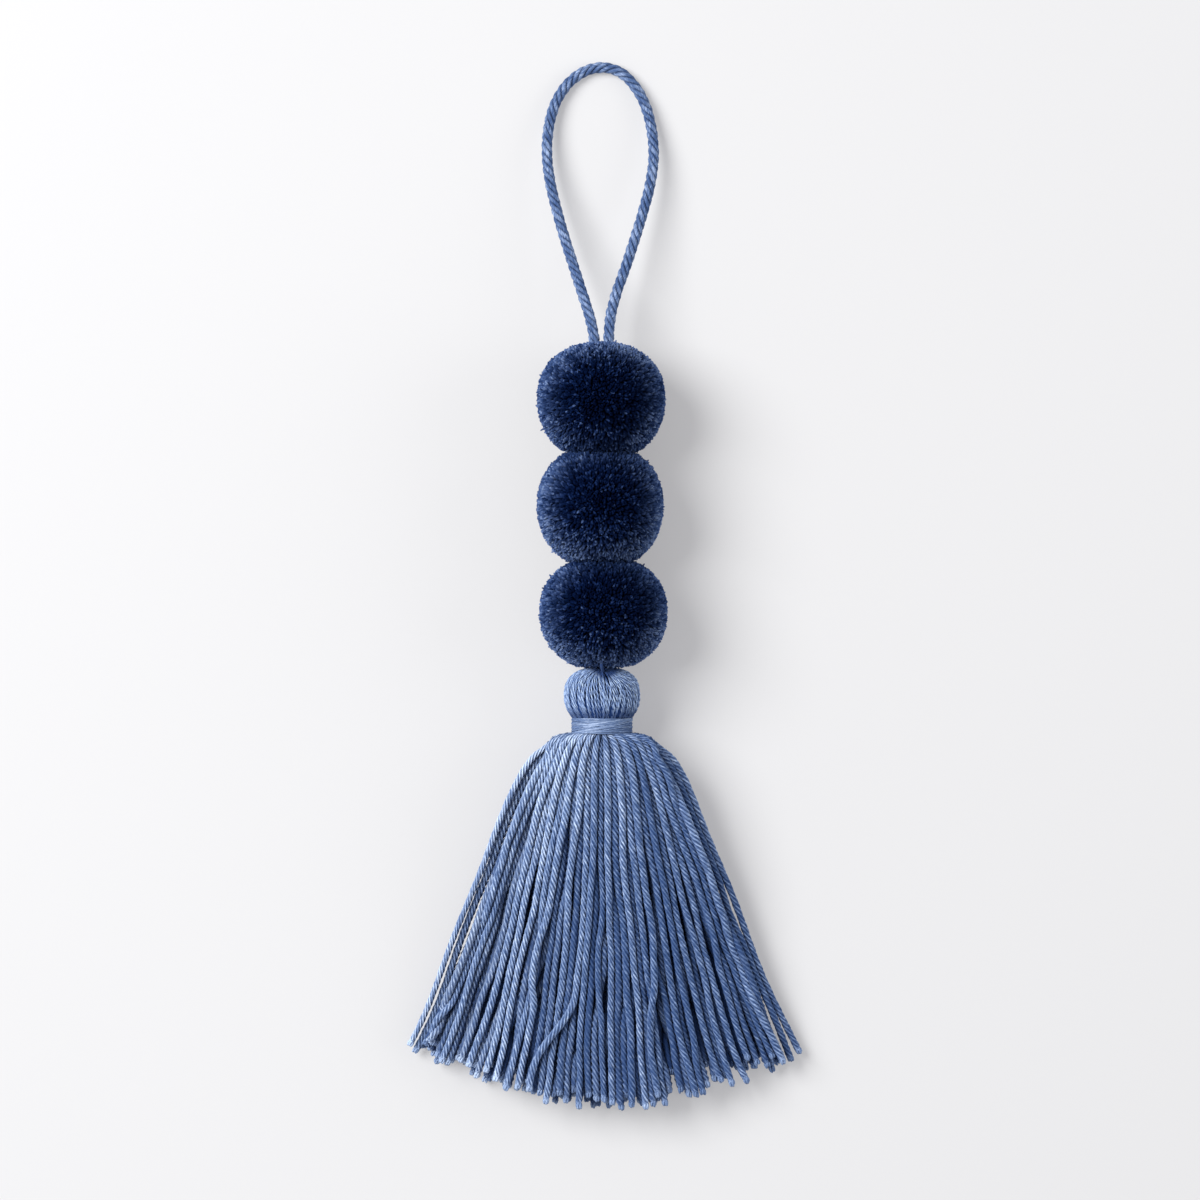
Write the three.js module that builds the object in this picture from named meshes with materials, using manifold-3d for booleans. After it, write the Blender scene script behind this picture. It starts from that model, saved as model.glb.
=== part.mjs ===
// A pom pom tassel: a hanging loop of twisted cord, three trimmed yarn balls threaded on its doubled
// length, and a yarn tassel tied below them. It lies on its back on a flat surface.
//
// Millimetres, +Z up, the surface at z = 0. The origin is the middle of the flat spot on which the
// middle ball rests. +Y runs along the cord, from the tassel towards the loop.
import * as THREE from "three";
import { mergeVertices } from "three/addons/utils/BufferGeometryUtils.js";
import Module from "manifold-3d";

const wasm = await Module();
wasm.setup();

// ---- Driving dimensions ----

const GAP = 0.3; // between pieces that touch in the real object

const CORD_RADIUS = 1.7;
const LEG_OFFSET = 2.2; // of each leg of the doubled cord from the axis
const CORD_STEPS = 72;
const CORD_SIDES = 8;

const AXIS_HEIGHT = 19; // of the cord inside the balls
const NECK_HEIGHT = 15.5; // of the tassel's neck, which hangs a little lower
const SAG_START = -45; // where the axis begins to drop, and where it has dropped
const SAG_END = -66;

const BALL_MERIDIANS = 24;
const BALL_PARALLELS = 16;
const TRIM_UNEVENNESS = 0.012; // share of a ball's radius
const TRIM_SQUARENESS = 2.2; // power of a ball's outline, where 2 is an ellipse

// One row for each ball: its centre, its radius across the cord, how far the round form would reach
// along the cord each way, and the planes where its neighbours flatten it.
const BALLS = [
  { name: "pom_top", x: -0.3, y: 33.2, radius: 20.0, up: 16.8, down: 19.8, top: 60, bottom: 16.6 },
  { name: "pom_middle", x: -0.3, y: 0, radius: 19.8, up: 18.6, down: 20.0, top: 16.3, bottom: -17.6 },
  { name: "pom_bottom", x: 0.4, y: -33.2, radius: 20.1, up: 17.3, down: 18.9, top: -17.9, bottom: -51.2 },
];

const HEAD = { top: -51.2 - GAP, middle: -59.6, bottom: -66, radius: 12, endReach: 11.1 };
const SOCKET_DEPTH = 5; // of the pocket in the head that takes the cord's two ends

const WAIST_RADIUS = 8.4;
const WRAP = { top: -66.3, bottom: -71.5, inner: WAIST_RADIUS + GAP, outer: 9.5, bead: 0.3, turns: 4 };
const WRAP_SEGMENTS = 24;
const SKIRT_START = -71.5;
const SKIRT_LENGTH = 118; // of the longest strands, from the neck
const SKIRT_LIP = 5; // how far the strands stand out from under the wrap, and over what length
const LIP_RUN = 0.25;
const SKIRT_SHOULDER = 8.6; // how much further they bulge out just below the neck
const SHOULDER_RUN = 6;
const SKIRT_SPREAD = 0.385; // half width gained for each millimetre of length
const SKIRT_FLARE = 2.2; // more half width, near the ends
const LAID_HEIGHT = 16; // of the heap of strands at the skirt's end
const DROP_RUN = 72; // over which the top of the skirt comes down from the neck
const LIFT_RUN = 22; // over which the underside comes down to the surface
const EDGE_DROP = 0.76; // share of the neck's height that the skirt's two edges come down by
const LEFT_TRIM = 3.5; // how much shorter the strands at the left edge are

const LOCKS = 22; // main locks of strands, each one tooth of the comb at the skirt's end
const POINTS_PER_LOCK = 3;
const NOTCH = 7; // depth of the gaps between the teeth
const HEAD_FLUTE = 0.45; // depth of the furrows between locks
const SKIRT_FLUTE = 1.5;
const END_FLUTE = 3; // more depth where the locks part, towards their ends

// ---- Small helpers ----

const clamp01 = (t) => Math.min(1, Math.max(0, t));
const mix = (a, b, t) => a + (b - a) * t;
const smooth = (t) => clamp01(t) ** 2 * (3 - 2 * clamp01(t));

/** Height of the axis at y: level through the balls, then sinking towards the neck. */
const axisHeight = (y) => mix(AXIS_HEIGHT, NECK_HEIGHT, smooth((SAG_START - y) / (SAG_START - SAG_END)));

/** A three.js geometry as a manifold-3d solid. */
function solidOf(geometry) {
  const bare = new THREE.BufferGeometry();
  bare.setAttribute("position", geometry.getAttribute("position"));
  bare.setIndex(geometry.index);
  const merged = mergeVertices(bare, 1e-4);
  return new wasm.Manifold(
    new wasm.Mesh({
      numProp: 3,
      vertProperties: new Float32Array(merged.getAttribute("position").array),
      triVerts: new Uint32Array(merged.index.array),
    }),
  );
}

/** A manifold-3d solid as a three.js geometry. */
function geometryOf(solid) {
  const mesh = solid.getMesh();
  const geometry = new THREE.BufferGeometry();
  geometry.setAttribute("position", new THREE.BufferAttribute(mesh.vertProperties, 3));
  geometry.setIndex(new THREE.BufferAttribute(mesh.triVerts, 1));
  geometry.computeVertexNormals();
  return geometry;
}

/** A slot along Y that both legs of the cord pass through with a little clearance. */
function slotAlong(yStart, yEnd, x, z) {
  const half = CORD_RADIUS + GAP;
  const outline = new THREE.Shape();
  outline.absarc(LEG_OFFSET, 0, half, -Math.PI / 2, Math.PI / 2);
  outline.absarc(-LEG_OFFSET, 0, half, Math.PI / 2, (3 * Math.PI) / 2);
  const length = yEnd - yStart;
  const slot = new THREE.ExtrudeGeometry(outline, { depth: length, bevelEnabled: false, curveSegments: 3 });
  slot.rotateX(-Math.PI / 2);
  return slot.translate(x, yStart, z);
}

// ---- The pieces ----

/** The hanging cord: up one leg through the balls, round the loop, and down the other leg. */
function cordGeometry() {
  const end = HEAD.top - SOCKET_DEPTH + GAP;
  const points = [
    [-LEG_OFFSET, end, 19], [-LEG_OFFSET, -46, 19], [-LEG_OFFSET, -20, 19], [-LEG_OFFSET, 10, 19],
    [-LEG_OFFSET, 36, 19], [-LEG_OFFSET, 46, 19], [-2.5, 52, 18.7], [-3.9, 58.5, 16.9],
    [-6.2, 66, 14.4], [-8.8, 74, 12.2], [-11.5, 82.5, 10.4], [-13.9, 91, 8.7], [-16.1, 100, 7],
    [-17.2, 109, 5.3], [-16.7, 117.5, 3.8], [-14.5, 125.5, 2.7], [-10.6, 131.5, 2.1],
    [-5.3, 135.3, 1.8], [0.2, 136.5, 1.8], [5.6, 135.1, 1.8], [9.8, 131.3, 2.1], [13.2, 125.5, 2.7],
    [15.5, 117.5, 3.8], [16.2, 109, 5.3], [15.1, 100, 7], [12.8, 91, 8.7], [10.2, 82.5, 10.4],
    [7.4, 74, 12.2], [4.6, 66, 14.4], [2.7, 58.5, 16.9], [2.1, 52, 18.7], [LEG_OFFSET, 46, 19],
    [LEG_OFFSET, 36, 19], [LEG_OFFSET, 10, 19], [LEG_OFFSET, -20, 19], [LEG_OFFSET, -46, 19],
    [LEG_OFFSET, end, 19],
  ];
  const route = new THREE.CatmullRomCurve3(points.map((p) => new THREE.Vector3(...p)));
  const section = new THREE.Shape();
  section.absarc(0, 0, CORD_RADIUS, 0, 2 * Math.PI);
  return new THREE.ExtrudeGeometry(section, {
    steps: CORD_STEPS,
    extrudePath: route,
    curveSegments: CORD_SIDES / 2, // three.js splits a full circle into twice this number
  });
}

/** A trimmed yarn ball, flattened by its neighbours and by the surface, with the slot for the cord. */
function ballGeometry(ball) {
  const geometry = new THREE.SphereGeometry(1, BALL_MERIDIANS, BALL_PARALLELS);
  const position = geometry.getAttribute("position");
  const n = new THREE.Vector3();
  for (let i = 0; i < position.count; i++) {
    n.fromBufferAttribute(position, i);
    const full = Math.hypot(n.x, n.z) ** TRIM_SQUARENESS + Math.abs(n.y) ** TRIM_SQUARENESS;
    const unevenness = TRIM_UNEVENNESS * Math.sin(5 * n.x + ball.y) * Math.cos(4 * n.y + 3 * n.z);
    const trim = (1 + unevenness) * full ** (-1 / TRIM_SQUARENESS);
    const reach = n.y > 0 ? ball.up : ball.down;
    const y = ball.y + reach * trim * n.y;
    const z = AXIS_HEIGHT + ball.radius * trim * n.z;
    position.setXYZ(
      i,
      ball.x + ball.radius * trim * n.x,
      Math.min(ball.top, Math.max(ball.bottom, y)),
      Math.max(0, z),
    );
  }
  const slot = slotAlong(ball.y - 30, ball.y + 30, 0, AXIS_HEIGHT);
  return geometryOf(solidOf(geometry).subtract(solidOf(slot)));
}

/** Half width of the skirt at s millimetres below the neck. */
function skirtHalfWidth(s) {
  const lip = SKIRT_LIP * (1 - Math.exp(-s / LIP_RUN));
  const shoulder = SKIRT_SHOULDER * (1 - Math.exp(-s / SHOULDER_RUN));
  return WAIST_RADIUS + lip + shoulder + SKIRT_SPREAD * s + SKIRT_FLARE * (s / 100) ** 6;
}

/** Height of the skirt's crown above the surface at s millimetres below the neck. */
function skirtCrown(s) {
  return LAID_HEIGHT + (NECK_HEIGHT + WAIST_RADIUS - LAID_HEIGHT) * Math.exp(-((s / DROP_RUN) ** 2));
}

/** Height of the skirt's underside, which soon lies on the surface. */
const skirtUnderside = (s) => (NECK_HEIGHT - WAIST_RADIUS) * (1 - smooth(s / LIFT_RUN));

/** Height of the skirt's two edges, which hang a little above the surface even at their ends. */
const skirtEdge = (s) => NECK_HEIGHT * (1 - EDGE_DROP * smooth(s / SKIRT_LENGTH));

/** Radius of the head at y: a ball of wrapped strands that ends in the waist. */
function headRadius(y) {
  const round = HEAD.radius * Math.sqrt(Math.max(0, 1 - ((y - HEAD.middle) / HEAD.endReach) ** 2));
  return y > HEAD.bottom ? round : WAIST_RADIUS;
}

/** How far lock number k falls short of the longest strands. */
const lockShortfall = (k) => 2 + 2 * Math.sin(2.6 * k + 0.8) * Math.cos(1.1 * k);

/** One column of the tassel: its angle from side to side, and whether it is a furrow between locks. */
function tasselColumns() {
  const count = LOCKS * POINTS_PER_LOCK;
  return Array.from({ length: count + 1 }, (_, i) => {
    const lock = Math.floor(i / POINTS_PER_LOCK);
    const furrow = i % POINTS_PER_LOCK === 0;
    const wander = furrow || i === count ? 0 : 0.25 * Math.sin(1.7 * i);
    return { u: (2 * (i + wander)) / count - 1, furrow, lock: Math.min(lock, LOCKS - 1) };
  });
}

/** The upper and lower point of a column on a round section of the head or waist. */
function roundSection({ y, radius, flute }) {
  return ({ u, furrow }) => {
    const angle = (u * Math.PI) / 2;
    const r = radius - (furrow ? flute : 0);
    const x = r * Math.sin(angle);
    const rise = r * Math.cos(angle);
    const z = axisHeight(y);
    return [new THREE.Vector3(x, y, z + rise), new THREE.Vector3(x, y, z - rise)];
  };
}

/** The upper and lower point of a column of the skirt, at share t of that column's own length. */
function skirtSection({ t, taper = 1 }) {
  return ({ u, furrow, lock }) => {
    const sideways = skirtHalfWidth(SKIRT_LENGTH * 0.84) * u;
    const reach = Math.sqrt(SKIRT_LENGTH ** 2 - sideways ** 2);
    const trimmed = lockShortfall(lock) + LEFT_TRIM * Math.min(0, u) ** 2;
    const length = reach - trimmed - (furrow ? NOTCH : 0);
    const s = t * length;
    const round = Math.exp(-s / 8); // the section starts round and spreads into a fan
    const angle = (u * Math.PI) / 2;
    const x = skirtHalfWidth(s) * mix(u, Math.sin(angle), round);
    const back = mix(1 - u ** 2, Math.cos(angle), round);
    const belly = mix(1 - u ** 4, Math.cos(angle), round);
    const lower = mix(skirtEdge(s), skirtUnderside(s), belly);
    const full = mix(skirtEdge(s), skirtCrown(s), back) - lower;
    const parting = SKIRT_FLUTE * clamp01(s / 20) + END_FLUTE * smooth((t - 0.7) / 0.3);
    const thickness = Math.max(0.3 * full, full - (furrow ? parting * back : 0)) * taper;
    const y = SKIRT_START - s;
    const rise = (full * (1 - taper)) / 2; // the blunt ends draw in from above and below
    return [new THREE.Vector3(x, y, lower + rise + thickness), new THREE.Vector3(x, y, lower + rise)];
  };
}

/** A closed solid through sections that share their columns; the first and last section are capped. */
function loftGeometry(columns, sections) {
  const last = columns.length - 1;
  const ringSize = 2 * last;
  const positions = [];
  for (const section of sections) {
    const pairs = columns.map(section);
    const upper = pairs.map(([top]) => top);
    const lower = pairs.slice(1, last).map(([, bottom]) => bottom);
    for (const p of [...upper, ...lower.reverse()]) positions.push(p.x, p.y, p.z);
  }
  const faces = [];
  const quad = (a, b, c, d) => faces.push(a, b, c, a, c, d);
  for (let s = 0; s + 1 < sections.length; s++) {
    for (let i = 0; i < ringSize; i++) {
      const j = (i + 1) % ringSize;
      const [near, far] = [s * ringSize, (s + 1) * ringSize];
      quad(near + i, far + i, far + j, near + j);
    }
  }
  const cap = (start, flip) => {
    for (let i = 0; i < last; i++) {
      const under = (k) => (ringSize - k) % ringSize;
      const [a, b, c, d] = [i, i + 1, under(i + 1), under(i)].map((k) => start + k);
      if (flip) quad(a, d, c, b);
      else quad(a, b, c, d);
    }
  };
  cap(0, false);
  cap((sections.length - 1) * ringSize, true);
  const geometry = new THREE.BufferGeometry();
  geometry.setAttribute("position", new THREE.Float32BufferAttribute(positions, 3));
  geometry.setIndex(faces);
  return geometry;
}

/** The tassel: one bundle of strands, gathered into the head and the waist, and loose in the skirt. */
function tasselGeometry() {
  const head = [HEAD.top, -53, -55.6, HEAD.middle, -63.2, -65.2, HEAD.bottom + 0.05].map((y) => ({
    y,
    radius: headRadius(y),
    flute: HEAD_FLUTE,
  }));
  const waist = [WRAP.top, SKIRT_START].map((y) => ({ y, radius: WAIST_RADIUS, flute: 0 }));
  const skirt = [0.003, 0.01, 0.03, 0.06, 0.11, 0.18, 0.28, 0.42, 0.58, 0.74, 0.88, 0.97].map((t) => ({ t }));
  const sections = [
    ...[...head, ...waist].map(roundSection),
    ...[...skirt, { t: 1, taper: 0.75 }].map(skirtSection),
  ];
  const bundle = solidOf(loftGeometry(tasselColumns(), sections));
  const socket = slotAlong(HEAD.top - SOCKET_DEPTH, HEAD.top + 5, 0, AXIS_HEIGHT);
  return geometryOf(bundle.subtract(solidOf(socket)));
}

/** The yarn wrapped round the waist: a ring with one bead for each turn. */
function wrapGeometry() {
  const pitch = (WRAP.top - WRAP.bottom) / WRAP.turns;
  const profile = [new THREE.Vector2(WRAP.inner, WRAP.bottom)];
  for (let turn = 0; turn < WRAP.turns; turn++) {
    const y = WRAP.bottom + turn * pitch;
    profile.push(new THREE.Vector2(WRAP.outer, y));
    profile.push(new THREE.Vector2(WRAP.outer + WRAP.bead, y + pitch / 2));
  }
  profile.push(new THREE.Vector2(WRAP.outer, WRAP.top));
  profile.push(new THREE.Vector2(WRAP.inner, WRAP.top));
  profile.push(profile[0].clone());
  return new THREE.LatheGeometry(profile, WRAP_SEGMENTS).translate(0, 0, NECK_HEIGHT);
}

// ---- The object ----

const yarn = (colour) => new THREE.MeshStandardMaterial({ color: colour, roughness: 0.95, metalness: 0 });
const navyYarn = yarn(0x10204a);
const blueYarn = yarn(0x5272b4);
const blueCord = yarn(0x4f6fb0);

const tassel = new THREE.Group();
const add = (name, geometry, material) => {
  const mesh = new THREE.Mesh(geometry, material);
  mesh.name = name;
  tassel.add(mesh);
};

add("hang_cord", cordGeometry(), blueCord);
for (const ball of BALLS) add(ball.name, ballGeometry(ball), navyYarn);
add("tassel", tasselGeometry(), blueYarn);
add("neck_wrap", wrapGeometry(), blueYarn);

export default tassel;
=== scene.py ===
"""Dresses the pom pom tassel: every ball, strand, wrap and cord as the yarn that it is made of.

Lengths are in metres, +Z up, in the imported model's own frame. +Y runs from the tassel to the loop.
"""
import math

import bpy
import numpy as np
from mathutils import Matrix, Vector
from mathutils.kdtree import KDTree


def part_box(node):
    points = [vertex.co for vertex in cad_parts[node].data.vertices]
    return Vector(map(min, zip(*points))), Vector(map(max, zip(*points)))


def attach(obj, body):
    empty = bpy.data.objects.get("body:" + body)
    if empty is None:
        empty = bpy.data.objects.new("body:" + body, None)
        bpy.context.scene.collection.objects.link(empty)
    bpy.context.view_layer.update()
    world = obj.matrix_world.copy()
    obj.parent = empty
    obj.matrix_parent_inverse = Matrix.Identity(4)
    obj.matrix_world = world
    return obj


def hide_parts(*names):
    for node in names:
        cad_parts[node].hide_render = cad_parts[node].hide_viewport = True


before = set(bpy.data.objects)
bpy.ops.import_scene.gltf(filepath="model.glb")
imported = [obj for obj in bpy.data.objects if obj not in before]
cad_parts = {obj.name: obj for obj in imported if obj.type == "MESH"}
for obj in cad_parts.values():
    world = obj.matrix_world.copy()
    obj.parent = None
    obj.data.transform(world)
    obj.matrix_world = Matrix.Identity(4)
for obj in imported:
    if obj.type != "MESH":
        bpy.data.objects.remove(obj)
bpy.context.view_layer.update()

MM = 0.001
TURN = 2 * math.pi
GOLDEN_ANGLE = math.pi * (3 - math.sqrt(5))
X, Y, Z = np.eye(3)

rng = np.random.default_rng(7)


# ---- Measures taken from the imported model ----

WRAP_LOW, WRAP_HIGH = (np.array(corner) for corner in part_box("neck_wrap"))
NECK = (WRAP_LOW + WRAP_HIGH) / 2
NECK_END = WRAP_LOW[1]  # where the skirt begins
WRAP_RADIUS = (WRAP_HIGH[0] - WRAP_LOW[0]) / 2
AXIS_HEIGHT = 19 * MM  # of the cord inside the balls

# ---- Small mathematics ----


def mix(a, b, t):
    return a + (b - a) * t


def smooth(t):
    t = np.clip(t, 0, 1)
    return t * t * (3 - 2 * t)


def unit(v):
    return v / np.maximum(np.linalg.norm(v, axis=-1, keepdims=True), 1e-12)


def together(*values):
    """Arrays or numbers as the coordinates of one array."""
    return np.stack(np.broadcast_arrays(*values), axis=-1)


def sides_of(tangent, reference=Z):
    """Two directions across a line, the first also at a right angle to the reference."""
    side = unit(np.cross(tangent, reference))
    return side, np.cross(tangent, side)


def arc_lengths(line):
    steps = np.linalg.norm(np.diff(line, axis=0), axis=1)
    return np.concatenate(([0], np.cumsum(steps)))


def resample(line, step, length=None):
    """Points at equal steps along a line, which may be cut off at a length."""
    along = arc_lengths(line)
    end = along[-1] if length is None else min(length, along[-1])
    count = max(4, int(round(end / step)) + 1)
    at = np.linspace(0, end, count)
    return together(*[np.interp(at, along, line[:, k]) for k in range(3)])


def between(t, start, end, a, b):
    return (end - t) / (end - start) * a + (t - start) / (end - start) * b


def curve_through(points, per_span=12):
    """A centripetal Catmull-Rom curve through a few points."""
    p = np.asarray(points, float)
    p = np.vstack((2 * p[0] - p[1], p, 2 * p[-1] - p[-2]))
    curve = []
    for a, b, c, d in zip(p, p[1:], p[2:], p[3:]):
        t0 = 0.0
        t1 = t0 + np.linalg.norm(b - a) ** 0.5
        t2 = t1 + np.linalg.norm(c - b) ** 0.5
        t3 = t2 + np.linalg.norm(d - c) ** 0.5
        t = np.linspace(t1, t2, per_span, endpoint=False)[:, None]
        ab, bc, cd = between(t, t0, t1, a, b), between(t, t1, t2, b, c), between(t, t2, t3, c, d)
        abc, bcd = between(t, t0, t2, ab, bc), between(t, t1, t3, bc, cd)
        curve.append(between(t, t1, t2, abc, bcd))
    return np.vstack((*curve, p[-2]))


# ---- Meshes ----

# Painted shade in the crevices between yarns: how deep it starts and how far it takes, in yarn radii, and
# how much of a yarn's own depth under its neighbours counts.
CREVICE_START, CREVICE_RUN, CREVICE_SHADE = 0.35, 1.2, 0.9
COVER_SHARE = 0.5


class Yarns:
    """Collects many yarns into one mesh. Each point keeps a few numbers for the material."""

    # The last mark is painted shade: how far a point's colour goes to its shade colour, in crevices, deep in
    # the neck and near the ball, tie and wrap.
    MARKS = ("tint", "ridge", "buried")

    def __init__(self):
        self.points, self.quads, self.triangles = [], [], []
        self.marks = {name: [] for name in self.MARKS}
        self.grain, self.nap, self.cuts = [], [], []
        self.count = 0

    def add(self, points, quads, triangles, grain, nap=(0, 0, 1), cut=1.0, **marks):
        """nap is the way a pile stands. cut marks the triangles, which close the yarns' ends."""
        points = points.reshape(-1, 3)
        self.points.append(points)
        self.quads.append(quads + self.count)
        self.triangles.append(triangles + self.count)
        self.cuts.append(np.full(len(triangles), cut))
        self.grain.append(np.broadcast_to(grain, points.shape))
        self.nap.append(np.broadcast_to(nap, points.shape))
        for name in self.MARKS:
            value = np.asarray(marks.get(name, 0.0), float)
            self.marks[name].append(np.broadcast_to(value, len(points)))
        self.count += len(points)

    def build(self, name, material, slot, *nodes):
        """Makes the object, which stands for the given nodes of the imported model."""
        points = np.concatenate(self.points)
        quads = np.concatenate(self.quads).astype(np.int32)
        triangles = np.concatenate(self.triangles).astype(np.int32)
        mesh = bpy.data.meshes.new(name)
        mesh.vertices.add(len(points))
        mesh.vertices.foreach_set("co", points.astype(np.float32).ravel())
        corners = np.concatenate((quads.ravel(), triangles.ravel()))
        sizes = np.concatenate((np.full(len(quads), 4), np.full(len(triangles), 3)))
        mesh.loops.add(len(corners))
        mesh.loops.foreach_set("vertex_index", corners)
        mesh.polygons.add(len(sizes))
        starts = np.concatenate(([0], np.cumsum(sizes)[:-1])).astype(np.int32)
        mesh.polygons.foreach_set("loop_start", starts)
        mesh.polygons.foreach_set("use_smooth", np.ones(len(sizes), bool))

        def keep(mark, values, kind="FLOAT", domain="POINT"):
            layer = mesh.attributes.new(mark, kind, domain)
            key = "value" if kind == "FLOAT" else "vector"
            layer.data.foreach_set(key, np.concatenate(values).astype(np.float32).ravel())

        for mark, values in self.marks.items():
            keep(mark, values)
        keep("grain", self.grain, "FLOAT_VECTOR")
        keep("nap", self.nap, "FLOAT_VECTOR")
        keep("cut", (np.zeros(len(quads)), *self.cuts), domain="FACE")
        mesh.update(calc_edges=True)
        mesh.validate()
        mesh.materials.append(material)
        piece = bpy.data.objects.new(name, mesh)
        bpy.context.scene.collection.objects.link(piece)
        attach(piece, "root")
        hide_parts(*nodes)
        print(f"{name}: {2 * len(quads) + len(triangles)} triangles")
        return piece


PLY_POINT = 0.34  # where a ply's two points stand, as a share of half its turn


def section(lobes, softness, fine=True):
    """A yarn's section as angles, reaches and ridge marks: one or two points on each ply, one between.

    Softness fills the hollows between the plies, from 0 to 1.
    """
    lobe_radius = 1 / (1 + 1 / math.sin(math.pi / lobes))
    offset = 1 - lobe_radius
    half = math.pi / lobes
    angles, reaches, ridges = [], [], []
    for lobe in range(lobes):
        for share in (-PLY_POINT, PLY_POINT, 1.0) if fine else (0.0, 1.0):
            a = share * half
            reach = offset * math.cos(a)
            reach += math.sqrt(max(0, lobe_radius**2 - (offset * math.sin(a)) ** 2))
            angles.append(2 * half * lobe + a)
            reaches.append(mix(reach, 1, softness))
            ridges.append(0 if share == 1 else 1)
    return np.array(angles), np.array(reaches) / max(reaches), np.array(ridges, float)


ROUND_SHAPE = (TURN * np.arange(6) / 6, np.ones(6), np.ones(6))  # a single ply


def ring_faces(rings, around):
    """The quads of a tube, and the triangles that close its two ends on two extra points."""
    i = np.arange(rings - 1)[:, None] * around
    j = np.arange(around)[None, :]
    k = (j + 1) % around
    quads = together(i + j, i + k, i + around + k, i + around + j)
    j, k = j.ravel(), k.ravel()
    last = (rings - 1) * around
    first_end = together(k, j, rings * around)
    last_end = together(last + j, last + k, rings * around + 1)
    return quads.reshape(-1, 4), np.vstack((first_end, last_end))


def add_yarn(
    yarns, line, radius, shape, lead, reference=Z, outward=None, covered=0.0, buried=0.0, tint=0.5, start=0.0
):
    """Adds one twisted yarn along a line and returns its last turn. A negative lead is an S twist.

    outward is the side of the yarn that is seen, and covered how many radii it lies under its neighbours.
    Tint, buried, covered, radius and lead may each be one number or vary along the line.
    """
    angles, reaches, ridges = shape
    rings, around = len(line), len(angles)
    along = arc_lengths(line)
    tint, buried = (np.broadcast_to(value, rings)[:, None] for value in (tint, buried))
    side, other = sides_of(unit(np.gradient(line, axis=0)), reference)
    rate = np.broadcast_to(TURN / np.asarray(lead, float), rings)
    twist = np.concatenate(([0], np.cumsum(np.diff(along) * (rate[1:] + rate[:-1]) / 2)))
    turned = angles[None, :] + (start + twist)[:, None]
    reach = np.broadcast_to(radius, rings)[:, None] * reaches[None, :]
    arms = np.cos(turned)[..., None] * side[:, None, :] + np.sin(turned)[..., None] * other[:, None, :]
    points = line[:, None, :] + reach[..., None] * arms
    ends = np.stack((line[0], line[-1]))
    points = np.vstack((points.reshape(-1, 3), ends))
    # Painted shade where the yarn's side turns away from outward and where it lies under its neighbours.
    if outward is not None:
        rise = np.sum(arms * np.broadcast_to(outward, line.shape)[:, None, :], axis=-1)
        depth = COVER_SHARE * np.broadcast_to(covered, rings)[:, None] + 1 - rise
        buried = np.maximum(CREVICE_SHADE * smooth((depth - CREVICE_START) / CREVICE_RUN), buried)
    marks = [np.broadcast_to(mark, (rings, around)) for mark in (tint, buried)]
    tint, buried = (np.concatenate((mark.ravel(), [mark[0, 0], mark[-1, 0]])) for mark in marks)
    quads, triangles = ring_faces(rings, around)
    seed = 50 * tint[0]
    grain = together(along[:, None], angles[None, :], seed)
    grain = np.vstack((grain.reshape(-1, 3), [[along[0], 0, seed], [along[-1], 0, seed]]))
    ridge = np.concatenate((np.tile(ridges, rings), [0.5, 0.5]))
    yarns.add(points, quads, triangles, grain, tint=tint, ridge=ridge, buried=buried)
    return start + twist[-1]


# ---- Materials ----


class Shader:
    """A material's node tree, with short calls for the nodes used here."""

    def __init__(self, name):
        self.material = bpy.data.materials.new(name)
        self.material.use_nodes = True
        self.tree = self.material.node_tree
        self.surface = self.tree.nodes["Principled BSDF"]

    def node(self, kind, **inputs):
        node = self.tree.nodes.new(kind)
        for key, value in inputs.items():
            self.put(node.inputs[key.replace("_", " ")], value)
        return node

    def put(self, socket, value):
        if isinstance(value, bpy.types.NodeSocket):
            self.tree.links.new(value, socket)
        else:
            socket.default_value = value

    def mark(self, name, output="Fac"):
        node = self.tree.nodes.new("ShaderNodeAttribute")
        node.attribute_name = name
        return node.outputs[output]

    def math(self, operation, *values):
        node = self.tree.nodes.new("ShaderNodeMath")
        node.operation = operation
        for socket, value in zip(node.inputs, values):
            self.put(socket, value)
        return node.outputs[0]

    def weighted(self, *terms):
        """The sum of values times their weights."""
        parts = [self.math("MULTIPLY", value, weight) for value, weight in terms]
        total = parts[0]
        for part in parts[1:]:
            total = self.math("ADD", total, part)
        return total

    def streaks(self, grain, scale, detail=3.0):
        """Noise along a yarn: how fast it changes along the yarn, round it and from yarn to yarn."""
        stretch = self.node("ShaderNodeMapping", Vector=grain, Scale=scale)
        noise = self.node("ShaderNodeTexNoise", Vector=stretch.outputs[0], Scale=1.0, Detail=detail)
        return noise.outputs["Fac"]

    def ramp(self, factor, *stops):
        """A colour ramp from (position, colour) pairs."""
        node = self.tree.nodes.new("ShaderNodeValToRGB")
        elements = node.color_ramp.elements
        while len(elements) < len(stops):
            elements.new(0.5)
        for element, (position, colour) in zip(elements, stops):
            element.position = position
            element.color = (*colour, 1)
        self.put(node.inputs["Fac"], factor)
        return node.outputs["Color"]

    def blend(self, factor, a, b):
        node = self.tree.nodes.new("ShaderNodeMix")
        node.data_type = "RGBA"
        self.put(node.inputs[0], factor)
        for socket, value in ((node.inputs[6], a), (node.inputs[7], b)):
            self.put(socket, (*value, 1) if isinstance(value, tuple) else value)
        return node.outputs[2]

    def bump(self, height, distance, strength):
        node = self.node("ShaderNodeBump", Height=height, Distance=distance, Strength=strength)
        self.finish(Normal=node.outputs["Normal"])

    def finish(self, **inputs):
        """Sets the surface's own sockets."""
        for key, value in inputs.items():
            self.put(self.surface.inputs[key.replace("_", " ")], value)


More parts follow.
